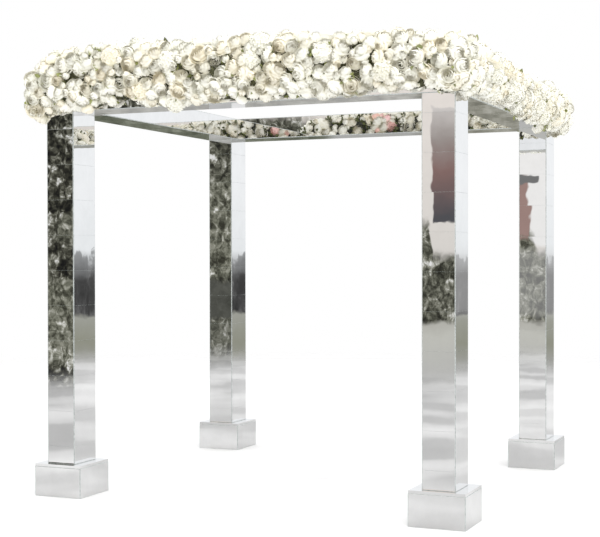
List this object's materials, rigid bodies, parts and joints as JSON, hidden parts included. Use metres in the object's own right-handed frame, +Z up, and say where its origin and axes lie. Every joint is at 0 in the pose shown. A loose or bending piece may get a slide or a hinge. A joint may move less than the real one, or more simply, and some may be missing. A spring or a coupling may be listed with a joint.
{
  "type": "chuppah canopy frame",
  "caption": "Open chuppah frame: mirror-clad posts on low plinths carry an open ring of box beams, with an ivory rose and hydrangea garland over the front and right beams.",
  "frame": {"origin": "on the ground, under the centre of the frame and of the whole box", "axes": "+Z up, the front with its garland looks along -Y, the right side with the other garland is +X"},
  "size_m": [3.22, 3.07, 3.1128],
  "materials": {
    "post_mirror": "polished mirror squares on board, faint seams",
    "beam_mirror": "polished mirror strips on board",
    "plinth_mirror": "mirror on board, hazed and smudged by handling",
    "blooms": "matt ivory petals with small green leaves"
  },
  "bodies": {
    "root": {"front_left_plinth_box": "plinth_mirror", "front_left_plinth_top": "plinth_mirror", "front_left_post_front": "post_mirror", "front_left_post_back": "post_mirror", "front_left_post_left": "post_mirror", "front_left_post_right": "post_mirror", "front_right_plinth_box": "plinth_mirror", "front_right_plinth_top": "plinth_mirror", "front_right_post_front": "post_mirror", "front_right_post_back": "post_mirror", "front_right_post_left": "post_mirror", "front_right_post_right": "post_mirror", "back_left_plinth_box": "plinth_mirror", "back_left_plinth_top": "plinth_mirror", "back_left_post_front": "post_mirror", "back_left_post_back": "post_mirror", "back_left_post_left": "post_mirror", "back_left_post_right": "post_mirror", "back_right_plinth_box": "plinth_mirror", "back_right_plinth_top": "plinth_mirror", "back_right_post_front": "post_mirror", "back_right_post_back": "post_mirror", "back_right_post_left": "post_mirror", "back_right_post_right": "post_mirror", "front_beam_outer": "beam_mirror", "front_beam_inner": "beam_mirror", "front_beam_underside": "beam_mirror", "front_beam_top": "beam_mirror", "back_beam_outer": "beam_mirror", "back_beam_inner": "beam_mirror", "back_beam_underside": "beam_mirror", "back_beam_top": "beam_mirror", "left_beam_outer": "beam_mirror", "left_beam_inner": "beam_mirror", "left_beam_underside": "beam_mirror", "left_beam_top": "beam_mirror", "right_beam_outer": "beam_mirror", "right_beam_inner": "beam_mirror", "right_beam_underside": "beam_mirror", "right_beam_top": "beam_mirror", "front_garland": "blooms", "right_garland": "blooms"}
  },
  "joints": []
}
